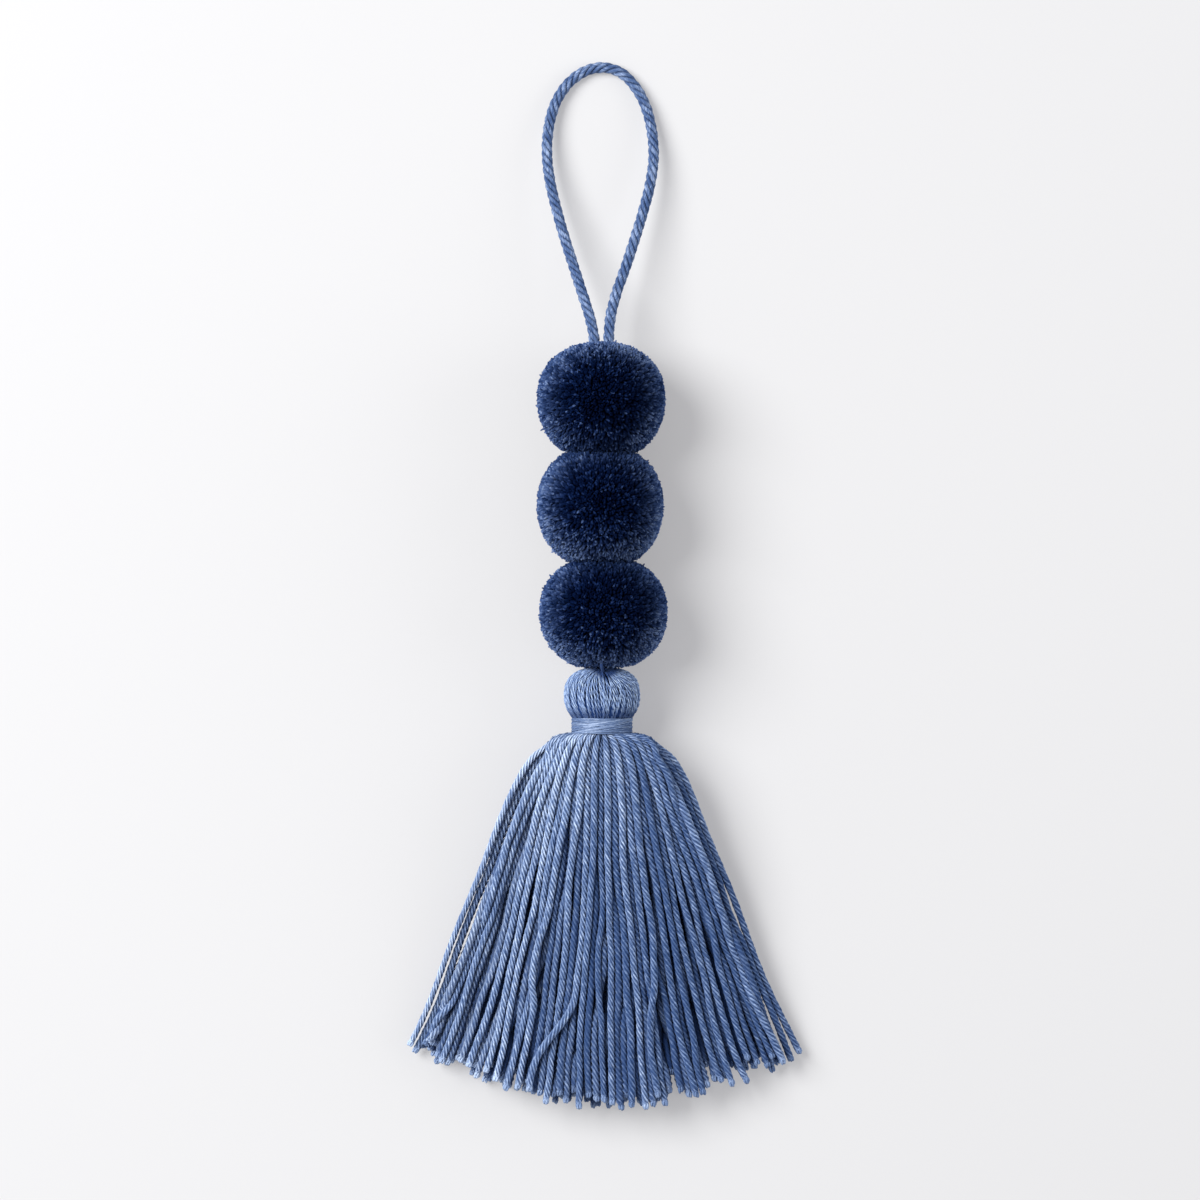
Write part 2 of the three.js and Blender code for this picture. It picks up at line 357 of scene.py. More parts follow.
YARN_FIBRES = (1 / (1.4 * MM), 2.4, 1.0)  # the grain of a yarn's fibres
YARN_PATCHES = (1 / (14 * MM), 0.3, 1.0)  # and of the slow drift in its colour
TINT_SHARE, FIBRE_SHARE, PATCH_SHARE = 0.3, 0.85, 0.25  # of its tone
DARK_TONE, MIDDLE_TONE, LIGHT_TONE = 0.47, 0.69, 0.87
# Painted shade between two plies: how widely it spreads and how deep it goes.
HOLLOW_WIDTH, HOLLOW_SHADE = 0.6, 0.95  # of the deep colour between two plies
FUZZ_DEPTH, FUZZ_STRENGTH = 0.15 * MM, 0.6


def yarn_material(name, valley, dark, middle, light):
    """Spun cotton: pale fibres in streaks along each ply, and painted shade between the plies and in
    crevices.
    """
    shader = Shader(name)
    grain = shader.mark("grain", "Vector")
    fibres = shader.streaks(grain, YARN_FIBRES)
    patches = shader.streaks(grain, YARN_PATCHES, 1.0)
    tone = shader.weighted((shader.mark("tint"), TINT_SHARE), (fibres, FIBRE_SHARE), (patches, PATCH_SHARE))
    colour = shader.ramp(tone, (DARK_TONE, dark), (MIDDLE_TONE, middle), (LIGHT_TONE, light))
    hollow = shader.math("POWER", shader.math("SUBTRACT", 1.0, shader.mark("ridge")), HOLLOW_WIDTH)
    hollow = shader.math("MAXIMUM", shader.math("MULTIPLY", hollow, HOLLOW_SHADE), shader.mark("buried"))
    shader.finish(
        Base_Color=shader.blend(hollow, colour, valley),
        Roughness=0.85,
        Specular_IOR_Level=0.08,
        Sheen_Weight=0.1,
        Sheen_Roughness=0.5,
        Sheen_Tint=(0.55, 0.72, 1.0, 1),
    )
    shader.bump(fibres, FUZZ_DEPTH, FUZZ_STRENGTH)
    return shader.material


PILE_FIBRES = (1 / (1.5 * MM), 2.8, 1.0)  # the grain of a tuft's fibres
PILE_TINT_SHARE, PILE_FIBRE_SHARE = 0.64, 0.36  # of its tone
PILE_SHEEN = (0.14, 0.85)  # how far the pile turns from the eye where its sheen begins and is full
PILE_CUT, PILE_CUT_SHADE = (0.0004, 0.0023, 0.014), 0.6  # the dark cut ends
# Painted shade deep between the tufts, and the power by which it gives way toward their tips.
PILE_ROOT_SHADE, PILE_ROOT_SHADE_FALL = (0.0003, 0.0014, 0.008), 1.4  # the dark between the tufts
PILE_ROUNDNESS = 0.35  # how much of each tuft's own form the light shows, against the whole ball's


def pile_material():
    """Trimmed navy pile: nearly black end on, with a pale sheen painted into its colour where seen from the
    side.
    """
    shader = Shader("navy_pile")
    nap = shader.mark("nap", "Vector")
    fibres = shader.streaks(shader.mark("grain", "Vector"), PILE_FIBRES)
    tone = shader.weighted((shader.mark("tint"), PILE_TINT_SHARE), (fibres, PILE_FIBRE_SHARE))
    plain = shader.ramp(
        tone,
        (0.35, (0.0006, 0.0030, 0.017)),
        (0.50, (0.0026, 0.0100, 0.048)),
        (0.62, (0.0130, 0.0320, 0.115)),
        (0.84, (0.0900, 0.1500, 0.330)),
    )
    # The glancing colours are a painted sheen, blended in where the pile turns from the eye.
    glancing = shader.ramp(
        tone,
        (0.32, (0.0060, 0.0200, 0.080)),
        (0.50, (0.0600, 0.1100, 0.270)),
        (0.70, (0.2300, 0.3200, 0.540)),
    )
    plain = shader.blend(shader.math("MULTIPLY", shader.mark("cut"), PILE_CUT_SHADE), plain, PILE_CUT)
    facing = shader.node("ShaderNodeLayerWeight", Blend=0.5, Normal=nap)
    sheen = shader.node("ShaderNodeMapRange", Value=facing.outputs["Facing"])
    sheen.interpolation_type = "SMOOTHSTEP"
    sheen.inputs["From Min"].default_value, sheen.inputs["From Max"].default_value = PILE_SHEEN
    colour = shader.blend(sheen.outputs["Result"], plain, glancing)
    fresh = shader.math("POWER", shader.mark("ridge"), PILE_ROOT_SHADE_FALL)
    faces = shader.node("ShaderNodeNewGeometry").outputs["Normal"]
    leaning = shader.node("ShaderNodeVectorMath", Vector=shader.blend(PILE_ROUNDNESS, nap, faces))
    leaning.operation = "NORMALIZE"
    shader.finish(
        Base_Color=shader.blend(fresh, PILE_ROOT_SHADE, colour),
        Roughness=0.95,
        Specular_IOR_Level=0.005,
        Sheen_Weight=0.5,
        Sheen_Roughness=0.4,
        Sheen_Tint=(0.30, 0.46, 1.0, 1),
        Normal=leaning.outputs[0],
    )
    return shader.material


# ---- The hanging cord ----

CORD_DIAMETER = 3.4 * MM
CORD_STRANDS = 4
CORD_LEAD = -10.8 * MM  # an S twist
CORD_PLY_LEAD = 6.5 * MM
CORD_STEP = 0.5 * MM
CORD_STRIDE = 3  # one ring in so many is kept where the cord is hidden
CORD_WAVES = 19 * MM, 7 * MM  # along which a strand gets paler and fuller, and less so
CORD_PRESS = 1.1  # its strands press into each other
CORD_EXIT = 46 * MM  # the cord is inside the balls below this
LOOP_STRETCH = 0.45 * MM  # how much longer the loop is pulled, for each such length above there
LEG = 2.2  # half the distance between the two legs, in millimetres

# The cord's route in millimetres, as the model has it: up the left leg, round the loop, down the right.
CORD_ROUTE = [
    (-LEG, -56.2, 19), (-LEG, -46, 19), (-LEG, -20, 19), (-LEG, 10, 19), (-LEG, 36, 19), (-LEG, 46, 19),
    (-2.5, 52, 18.7), (-3.9, 58.5, 16.9), (-6.2, 66, 14.4), (-8.8, 74, 12.2), (-11.5, 82.5, 10.4),
    (-13.9, 91, 8.7), (-16.1, 100, 7), (-17.2, 109, 5.3), (-16.7, 117.5, 3.8), (-14.5, 125.5, 2.7),
    (-10.6, 131.5, 2.1), (-5.3, 135.3, 1.8), (0.2, 136.5, 1.8), (5.6, 135.1, 1.8), (9.8, 131.3, 2.1),
    (13.2, 125.5, 2.7), (15.5, 117.5, 3.8), (16.2, 109, 5.3), (15.1, 100, 7), (12.8, 91, 8.7),
    (10.2, 82.5, 10.4), (7.4, 74, 12.2), (4.6, 66, 14.4), (2.7, 58.5, 16.9), (2.1, 52, 18.7),
    (LEG, 46, 19), (LEG, 36, 19), (LEG, 10, 19), (LEG, -20, 19), (LEG, -46, 19), (LEG, -56.2, 19),
]


def make_cord(material):
    """A rope of four strands laid in an S twist."""
    yarns = Yarns()
    route = resample(curve_through(np.array(CORD_ROUTE) * MM), CORD_STEP)
    route[:, 1] += LOOP_STRETCH * np.clip(route[:, 1] / CORD_EXIT - 1, 0, None)
    route = route[(route[:, 1] > CORD_EXIT) | (np.arange(len(route)) % CORD_STRIDE == 0)]
    along = arc_lengths(route)
    side, other = sides_of(unit(np.gradient(route, axis=0)))
    strand_radius = CORD_DIAMETER / 2 / (1 + 1 / math.sin(math.pi / CORD_STRANDS))
    offset = CORD_DIAMETER / 2 - strand_radius
    for strand in range(CORD_STRANDS):
        angle = TURN * (along / CORD_LEAD + strand / CORD_STRANDS)
        around = np.cos(angle)[:, None] * side + np.sin(angle)[:, None] * other
        uneven = sum(np.sin(TURN * (along / wave + rng.random())) for wave in CORD_WAVES)
        tint = 0.45 + 0.15 * uneven
        radius = strand_radius * (CORD_PRESS + 0.05 * uneven)
        line = route + offset * around
        add_yarn(yarns, line, radius, ROUND_SHAPE, CORD_PLY_LEAD, outward=around, tint=tint)
    piece = yarns.build("hang_cord_rope", material, "twisted_cord", "hang_cord")
    tuple(route[0])


# ---- The trimmed balls ----

TUFTS = 9800
CLUMPS, PATCHES = 2900, 90
TUFT_JITTER, CLUMP_JITTER, PATCH_JITTER = 0.008, 0.03, 0.1  # how unevenly each kind is spread
CLUMPING = 0.45  # how far a tuft's head moves toward the middle of its clump
TUFT_LENGTH, TUFT_TAPER = 2.6 * MM, 1.1 * MM  # visible part, and the part of it that narrows
TUFT_SIDES = 3
TUFT_RADII = np.array([0.34, 0.50, 0.26]) * MM  # where it starts, where it begins to narrow, where it is cut
TUFT_SWELL = 0.85, 1.15  # the thinnest and thickest tufts, against those radii
TUFT_DOME = 0.12 * MM
TUFT_LEAN = 0.25 * MM
TRIM_DEPTH = 0.2 * MM  # the pile is trimmed so far inside the solid
TRIM_PLAY, CLUMP_PLAY = 0.10 * MM, 0.12 * MM  # how unevenly tufts and clumps are trimmed
STRAYS, STRAY_LENGTH = 0.006, 0.9 * MM  # the share of tufts that the trimming missed
CORE_DEPTH = 1.7 * MM
CONTACT_PLAY = 0.4 * MM  # how unevenly two balls meet
CONTACT_GAP = 0.3 * MM  # and how far a tuft may pass the plane between them
CONTACT_RIM = 2.2 * MM  # tufts deeper inside a contact are left out
FLOOR_GAP = 0.02 * MM

# Bent tufts show their pale sides: their share of the pile in its upper and lower half, how far they lean
# in millimetres, how much shorter they then stand and how much paler they look.
BENT_SHARES, BENT_LEAN = (0.012, 0.30), (0.6, 1.3)
BENT_DROP, BENT_TONE = 0.1 * MM, 0.33

# How pale the pile is, and how much that varies between tufts, clumps and patches.
PILE_TONE, TUFT_TONES, CLUMP_TONES, PATCH_TONES = 0.42, 0.10, 0.10, 0.05
# Painted shade: how much darker the pile is beside a contact, where two balls shade each other.
CONTACT_SHADE = 0.2  # how much darker the pile is beside a contact

# In millimetres, as the model has them: where each ball's middle lies along the cord, how far the round
# form would reach each way, and the planes where its neighbours flatten it. Then how pale its pile is, and
# how much paler it gets toward the tassel and toward the loop.
TRIM_SQUARENESS = 2.2  # power of a ball's outline, where 2 is an ellipse
BALLS = [
    dict(
        name="pom_top", middle=33.2, up=17.4, down=19.8, top=60.0, bottom=16.6,
        tone=-0.05, low_tone=-0.02, high_tone=0.14,
    ),
    dict(
        name="pom_middle", middle=0.0, up=18.6, down=20.0, top=16.3, bottom=-17.6,
        tone=0.02, low_tone=0.12, high_tone=0.0,
    ),
    dict(
        name="pom_bottom", middle=-33.2, up=17.3, down=18.4, top=-17.9, bottom=-50.3,
        tone=-0.02, low_tone=0.17, high_tone=0.0,
    ),
]


def spread_directions(count, jitter):
    """Directions spread evenly over a sphere."""
    k = np.arange(count) + 0.5
    height = 1 - 2 * k / count
    ring = np.sqrt(1 - height**2)
    even = together(ring * np.cos(GOLDEN_ANGLE * k), height, ring * np.sin(GOLDEN_ANGLE * k))
    return unit(even + rng.normal(0, jitter, even.shape))


def nearest(points, seeds):
    """For each point, the index of the nearest seed."""
    tree = KDTree(len(seeds))
    for index, seed in enumerate(seeds):
        tree.insert(seed, index)
    tree.balance()
    return np.array([tree.find(point)[1] for point in points])


def tuft_faces(rings):
    """The sides of one tuft and its cut end, which rises to a last point. Its root stays open."""
    quads, triangles = ring_faces(rings, TUFT_SIDES)
    return quads, triangles[TUFT_SIDES:] - (0, 0, 1)


def make_ball(ball, material):
    """A yarn ball: thousands of cut tufts that stand out from a dark middle."""
    low, high = (np.array(corner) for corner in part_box(ball["name"]))
    centre = np.array(((low[0] + high[0]) / 2, ball["middle"] * MM, AXIS_HEIGHT))
    across = (high[0] - low[0]) / 2 - TRIM_DEPTH
    up, down, top, bottom = (ball[key] * MM for key in ("up", "down", "top", "bottom"))

    out = spread_directions(TUFTS, TUFT_JITTER)
    size = together(across, np.where(out[:, 1] > 0, up, down), across)
    full = np.hypot(out[:, 0], out[:, 2]) ** TRIM_SQUARENESS + np.abs(out[:, 1]) ** TRIM_SQUARENESS
    tip = out * size * full[:, None] ** (-1 / TRIM_SQUARENESS)
    reach = tip[:, 1] + centre[1]
    shown = (reach < top + CONTACT_RIM) & (reach > bottom - CONTACT_RIM)
    out, tip = out[shown], tip[shown]
    count = len(out)
    clumps = spread_directions(CLUMPS, CLUMP_JITTER)
    clump = nearest(out, clumps)
    toward = clumps[clump] - out
    stray = rng.random(count) < STRAYS
    longer = TRIM_PLAY * rng.normal(size=count) + np.where(stray, STRAY_LENGTH * rng.random(count), 0)
    longer += CLUMP_PLAY * rng.normal(size=CLUMPS)[clump]
    side, other = sides_of(out, unit(rng.normal(size=out.shape)))
    lean = TUFT_LEAN * rng.random(count)
    low_half = smooth(-1.2 * out[:, 1] + 0.1)
    high_half = smooth(1.2 * out[:, 1] - 0.1)
    bent = rng.random(count) < mix(*BENT_SHARES, low_half) + ball["high_tone"] * high_half
    lean = np.where(bent, mix(*BENT_LEAN, rng.random(count)) * MM, lean)
    patch = nearest(out, spread_directions(PATCHES, PATCH_JITTER))
    tint = PILE_TONE + TUFT_TONES * rng.normal(size=count) + CLUMP_TONES * rng.normal(size=CLUMPS)[clump]
    tint += PATCH_TONES * rng.normal(size=PATCHES)[patch] + ball["tone"] + ball["low_tone"] * low_half
    tint += ball["high_tone"] * high_half
    # Painted shade on the pile near each contact with a neighbouring ball.
    nearby = 1 - smooth((np.minimum(top - reach, reach - bottom)[shown] + 1 * MM) / (4.5 * MM))
    tint = np.clip(tint + np.where(bent, BENT_TONE, 0) - CONTACT_SHADE * nearby, 0, 1)
    longer = np.where(bent, longer - BENT_DROP, longer)

    corners = TURN * np.arange(TUFT_SIDES) / TUFT_SIDES
    arms = np.cos(corners)[:, None] * side[:, None, :] + np.sin(corners)[:, None] * other[:, None, :]
    head = tip + out * longer[:, None] + side * lean[:, None] + CLUMPING * across * toward
    root = tip - unit(tip) * TUFT_LENGTH
    bend = mix(tip, head, 0.35) - unit(tip) * TUFT_TAPER
    crest = head + unit(head - bend) * TUFT_DOME
    swell = mix(*TUFT_SWELL, rng.random(count))[:, None, None]
    rings = [
        middle[:, None, :] + radius * swell * arms for middle, radius in zip((root, bend, head), TUFT_RADII)
    ]
    points = np.concatenate((*rings, crest[:, None, :]), axis=1) + centre
    play = CONTACT_PLAY * rng.normal(size=(count, 1))
    lowest, highest = bottom + np.minimum(play, CONTACT_GAP), top + np.maximum(play, -CONTACT_GAP)
    points[..., 1] = np.clip(points[..., 1], lowest, highest)
    points[..., 2] = np.maximum(points[..., 2], FLOOR_GAP)

    each = points.shape[1]
    quads, triangles = tuft_faces(len(rings))
    starts = (np.arange(count) * each)[:, None, None]
    # fresh runs from 0 deep in the pile, where the painted shade is full, to 1 at the tip.
    fresh = np.repeat((0.0, 0.55, 1.0, 1.0), (*[TUFT_SIDES] * 3, 1))  # 0 deep in the pile
    turn = np.concatenate((np.tile(corners, len(rings)), [0]))
    grain = together(fresh[None, :] * TUFT_LENGTH, turn[None, :], tint[:, None] * 90)
    yarns = Yarns()
    yarns.add(
        points,
        (quads[None] + starts).reshape(-1, 4),
        (triangles[None] + starts).reshape(-1, 3),
        grain.reshape(-1, 3),
        nap=np.repeat(unit(tip), each, axis=0),
        tint=np.repeat(tint, each),
        ridge=np.tile(fresh, count),
    )
    add_core(yarns, centre, np.array((across, up, down)) - CORE_DEPTH, bottom, top)
    yarns.build(f"{ball['name']}_pile", material, "navy_pile", ball["name"])


def add_core(yarns, centre, sizes, bottom, top, buried=0.0, around=32, rows=16):
    """The dense middle that shows between tufts or strands, coloured all in painted shade."""
    across, up, down = sizes
    fall = np.pi * (np.arange(1, rows) / rows)
    turn = TURN * np.arange(around) / around
    ring = across * np.sin(fall)[:, None]
    rise = np.where(fall < np.pi / 2, up, down) * np.cos(fall)
    points = together(ring * np.cos(turn), rise[:, None], ring * np.sin(turn))
    points = np.vstack((points.reshape(-1, 3), [up * Y, -down * Y])) + centre
    points[:, 1] = np.clip(points[:, 1], bottom + CONTACT_GAP, top - CONTACT_GAP)
    quads, triangles = ring_faces(rows - 1, around)
    yarns.add(points, quads[:, ::-1], triangles[:, ::-1], (0, 0, 0), tint=0.1, buried=buried)


# ---- The tassel ----

STRAND_RADIUS = 1.1 * MM
NECK_STRAND_RADIUS, LIP_STRAND_RADIUS, SHOULDER_STRAND_RADIUS = 0.6 * MM, 0.95 * MM, 1.22 * MM
STRAND_PLIES = 5
STRAND_LEAD, NECK_LEAD = -9.6 * MM, -8.2 * MM
STRAND_STEP = 1.0 * MM
STRAND_LENGTH = 118.5 * MM
WAIST_RADIUS = 8.4 * MM
SKIRT_SHAPE = section(STRAND_PLIES, 0.0)
HIDDEN_SHAPE = section(STRAND_PLIES, 0.2, fine=False)
PLY_SHAPE = (TURN * np.arange(4) / 4, np.ones(4), np.ones(4))

LAY_REACH = 123 * MM
LAY_STEP = 1.6 * MM  # between stations, once past the neck
LAY_ROUNDS = 140
LAY_SLACK = 1.07  # how much room a strand takes, against its own thickness

# How far a strand moves in each round of laying: to lie straight, back to its free place, off its
# neighbours, up onto the crown, and into a gap between two neighbours.
STRAIGHTEN, RETURN, PART, RISE, CLOSE = 0.4, 0.03, 0.3, 0.12, 0.4
GAP_WIDTH = 1.5  # between two neighbours' centres, in radii

# A strand's wander across the skirt: wavelengths and sizes.
WANDER = [(14 * MM, 0.16 * MM), (40 * MM, 0.4 * MM), (85 * MM, 0.9 * MM)]

# Strands that cross the others on top: x where they leave their place, x where they end, and the
# distances below the neck between which they cross, in millimetres.
CROSSINGS = [(-8.8, -20.5, 82, 103), (17, 12, 62, 96)]


# The skirt's outline: what its lip and shoulder add to the waist, and over what length, and its flare.
LIP, LIP_RUN = 4.2 * MM, 0.25 * MM
SHOULDER, SHOULDER_RUN = 9.4 * MM, 5 * MM
FLARE = 0.385
END_FLARE, END_FLARE_AT, END_FLARE_POWER = 2.2 * MM, 100 * MM, 6

CROWN_END, CROWN_RUN = 16 * MM, 72 * MM  # the height to which its back sinks, and over what length
HANG_FALL, HANG_RUN = 0.76, 120 * MM  # the same for its sides, as a share of the neck's height

LEFT_BULGE = 0.8 * MM
RIPPLE, RIPPLE_RUN, RIPPLE_WAVE = 0.35 * MM, 40 * MM, 47 * MM


def skirt_half_width(s):
    """Half width of the skirt at a distance below the neck, in metres."""
    lip = LIP * (1 - np.exp(-s / LIP_RUN))
    shoulder = SHOULDER * (1 - np.exp(-s / SHOULDER_RUN))
    return WAIST_RADIUS + lip + shoulder + FLARE * s + END_FLARE * (s / END_FLARE_AT) ** END_FLARE_POWER


def skirt_crown(s):
    """Height of the skirt's top above the surface at a distance below the neck."""
    return CROWN_END + (NECK[2] + WAIST_RADIUS - CROWN_END) * np.exp(-((s / CROWN_RUN) ** 2))


def skirt_hang(s):
    """Height of the outermost strands above the surface at a distance below the neck."""
    return NECK[2] * (1 - HANG_FALL * smooth(s / HANG_RUN))


def bell(s, middle, run):
    """1 at a distance below the neck, in millimetres, and less before and after it."""
    return np.exp(-(((s / MM - middle) / run) ** 2))


def skirt_ripple(s, way):
    """How far an edge of the skirt, on the left (-1) or right (1), wanders from its even outline."""
    bulge = LEFT_BULGE * bell(s, 44, 26) if way < 0 else 0
    return bulge + RIPPLE * smooth(s / RIPPLE_RUN) * np.sin(TURN * s / RIPPLE_WAVE + way)


def side_slits(s):
    """For each side, how far its two outermost strands stand off, less a little where they touch."""
    left = 0.3 + 0.6 * smooth((s / MM - 44) / 40), 0.4 * bell(s, 62, 14)
    right = 1.0 * bell(s, 55, 8) + 2.6 * smooth((s / MM - 80) / 34), 1.1 * bell(s, 90, 12)
    opened = smooth((s / MM - 30) / 14)
    return {way: [(slit * opened - 0.25) * MM for slit in slits] for way, slits in ((-1, left), (1, right))}


def hump(across):
    """How high the skirt's back rises at a share of its half width."""
    return 1 - np.abs(np.clip(across, -1, 1)) ** 2


def even_places(count):
    """Places across the skirt, each with an equal share of its thickness, the ends at -1 and 1."""
    x = np.linspace(-1, 1, 2001)
    share = np.cumsum(np.maximum(hump(x), 0.6))
    places = np.interp((np.arange(count) + 0.5) / count, share / share[-1], x)
    return places / places[-1]


def neck_places():
    """Where the strands pass through the neck, in close rings, as shares of the neck's radius."""
    places = []
    room = WAIST_RADIUS - NECK_STRAND_RADIUS
    for ring in np.arange(room, 0, -1.95 * NECK_STRAND_RADIUS):
        count = max(1, int(TURN * ring / (2 * NECK_STRAND_RADIUS)))
        angles = TURN * (np.arange(count) + rng.random()) / count
        places.append(ring / room * together(np.sin(angles), np.cos(angles)))
    return np.concatenate(places)


def lay_strands():
    """Centre lines of the skirt's strands, pushed apart until they lie beside and on each other."""
    near = LAY_STEP * np.array([0, 0.1, 0.25, 0.5, 0.85, 1.3, 1.8, 2.4, 3.1])
    s = np.concatenate((near, np.arange(4 * LAY_STEP, LAY_REACH, LAY_STEP)))
    across, up = neck_places().T
    count = len(across)
    room = WAIST_RADIUS - NECK_STRAND_RADIUS
    half = np.sqrt(np.clip(1 - across**2, 0.03, 1))
    level = np.clip((up + half) / (2 * half), 0, 1)
    shell = np.where(level > 0.5, 1 - 0.5 * (2 - 2 * level) ** 1.9, 0.5 * (2 * level) ** 1.9)
    order = np.argsort(across)
    even = np.empty(count)
    even[order] = even_places(count)

    settled = 1 - np.exp(-s / (6 * MM))
    radius = mix(NECK_STRAND_RADIUS, LIP_STRAND_RADIUS, 1 - np.exp(-s / (1 * MM)))
    radius = mix(radius, SHOULDER_STRAND_RADIUS, smooth(s / (10 * MM)))
    radius = mix(radius, STRAND_RADIUS, smooth((s - 15 * MM) / (45 * MM)))
    width = skirt_half_width(s) - radius
    x = mix(across[:, None], even[:, None], settled) * width
    for waves, size in WANDER:
        phase = TURN * rng.random((count, 1))
        stretch = 0.75 + 0.5 * rng.random((count, 1))
        x = x + size * smooth(s / (60 * MM)) * np.sin(TURN * s * stretch / waves + phase)
    back = hump(x / (width + radius))
    side = np.maximum(skirt_hang(s) - radius, 0) * (1 - back)
    top = side + (skirt_crown(s) - 2 * radius) * back
    under = side + (NECK[2] - WAIST_RADIUS) * (1 - smooth(s / (22 * MM))) * back
    z = radius + mix(under, top, mix(level[:, None], shell[:, None], settled))
    z = mix(NECK[2] + room * up[:, None], z, settled)

    upper = np.flatnonzero(level > 0.8)
    for start, end, first, last in np.array(CROSSINGS) * MM:
        at = np.searchsorted(s, first)
        chosen = upper[np.argmin(np.abs(x[upper, at] - start))]
        move = smooth((s - first) / (last - first))
        x[chosen] += move * (end - start)
        z[chosen] += 1.3 * STRAND_RADIUS * smooth((s - first) / (8 * MM))
        upper = upper[upper != chosen]

    free = together(x, z)
    lines = free.copy()
    touch = 2 * radius * mix(1, LAY_SLACK, smooth(s / (50 * MM)))
    loose = smooth((s - 1 * MM) / (6 * MM))
    slits = side_slits(s)
    low, high = (way * (width - loose * (4 * radius + sum(slits[way]))) for way in (-1, 1))
    lean = np.maximum(1 / np.sqrt(1 + np.gradient(x, s, axis=1) ** 2), 0.7)
    k = np.arange(count)
    for _ in range(LAY_ROUNDS):
        lines[:, 1:-1] += STRAIGHTEN * (0.5 * (lines[:, :-2] + lines[:, 2:]) - lines[:, 1:-1])
        lines += RETURN * (free - lines)
        apart = lines[:, None] - lines[None, :]
        beside = apart[..., 0] * lean[:, None, :]
        distance = np.sqrt(beside**2 + apart[..., 1] ** 2) + 1e-9
        overlap = np.clip(touch - distance, 0, None) / distance
        overlap[k, k] = 0
        lines += PART * np.sum(overlap[..., None] * apart, axis=1)
        covers = (beside**2 < (1.2 * radius) ** 2) & (apart[..., 1] < -0.5 * radius)
        crown = radius + (skirt_crown(s) - 2 * radius) * hump(lines[..., 0] / (width + radius))
        rise = np.clip(crown - lines[..., 1], 0, None) * ~np.any(covers, axis=1)
        lines[..., 1] += RISE * loose * rise
        ranks = np.argsort(lines[..., 0], axis=0)
        ranked = np.take_along_axis(lines[..., 0], ranks, axis=0)
        gaps = np.clip(np.diff(ranked, axis=0) - GAP_WIDTH * radius, 0, None)
        pull = np.diff(np.pad(gaps, ((1, 1), (0, 0))), axis=0)
        np.put_along_axis(lines[..., 0], ranks, ranked + CLOSE * pull, axis=0)
        lines[..., 0] = np.clip(lines[..., 0], low, high)
        lines[..., 1] = np.maximum(lines[..., 1], radius)
        lines[:, 0] = free[:, 0]
    for way, inward in ((-1, order), (1, order[::-1])):
        place = way * (width + skirt_ripple(s, way))
        for strand, slit in zip(inward, slits[way]):
            lines[strand, :, 0] = mix(lines[strand, :, 0], place, loose)
            place = place - way * (2 * radius + slit)
    y = NECK_END - s
    above, below = (cover_of(lines, way, radius) for way in (1, -1))
    faces = np.where(np.mean(above, axis=1) < np.mean(below, axis=1) + 0.3, 1, -1)
    edges = [*order[:2], *order[-2:]]
    faces[edges] = 1
    covered = np.where(faces[:, None] > 0, above, below)
    covered[edges] = 0
    lines = [together(line[:, 0] + NECK[0], y, line[:, 1]) for line in lines]
    deep = 1 - np.hypot(across, up)
    return zip(lines, across, deep, faces, covered), radius, s


def cover_of(lines, way, radius):
    """How many radii each strand lies under its neighbours, seen from above (way 1) or from below (-1)."""
    beside = (lines[:, None, :, 0] - lines[None, :, :, 0]) / radius
    over = (lines[None, :, :, 1] - lines[:, None, :, 1]) / radius * way
    near = np.sqrt(np.clip(1 - (beside / 1.6) ** 2, 0, 1))
    return np.max(np.where(near > 0, over - (1 - near), 0), axis=1)


def add_frayed_end(yarns, path, radius, tint, buried, start):
    """The plies of a strand, which come apart past its cut end."""
    tangent = unit(path[-1] - path[-3])
    side, other = sides_of(tangent)
    for ply in range(STRAND_PLIES):
        angle = start + TURN * ply / STRAND_PLIES
        off = math.cos(angle) * side + math.sin(angle) * other
        past = mix(0.3, 1.0, rng.random()) * MM
        flare = mix(0.15, 0.60, rng.random()) * radius
        turned = math.cos(angle - 0.9) * side + math.sin(angle - 0.9) * other
        line = np.array([
            path[-1] - 1.5 * MM * tangent + 0.45 * radius * turned,
            path[-1] - 0.4 * MM * tangent + 0.62 * radius * off,
            path[-1] + 0.5 * past * tangent + mix(0.6 * radius, flare, 0.4) * off,
            path[-1] + past * tangent + flare * off,
        ])
        line[:, 2] = np.maximum(line[:, 2], 0.45 * MM)
        thick = radius * np.array([0.36, 0.40, 0.36, 0.24])
        add_yarn(yarns, line, thick, PLY_SHAPE, TURN, tint=tint, buried=buried)


STRAND_TONE, STRAND_TONE_PLAY = 0.38, 0.17
# Painted light first: how much paler a strand is at the neck, where the light falls best; then how much paler
# it is at its cut end.
NECK_PAINTED_LIGHT, END_GLOW = 0.32, 0.35  # how much paler a strand is at the neck and at its cut end


def strand_tint(share, below, left):
    """How pale a strand is, with painted shade to the right and painted light at the neck. below and left are
    in millimetres.
    """
    tint = STRAND_TONE + STRAND_TONE_PLAY * rng.normal()
    # Painted shade: darker to the right, where the skirt turns away from the light.
    tint = tint - 0.30 * smooth((share + 0.8) / 1.0) - 0.26 * smooth((share - 0.1) / 0.6)
    # Painted light: paler near the neck, where the light falls best; paler also at the cut end.
    tint = mix(tint + NECK_PAINTED_LIGHT, tint, smooth(below / 55)) + END_GLOW * np.exp(-left / 1.5)
    return np.clip(tint, -0.25, 1)


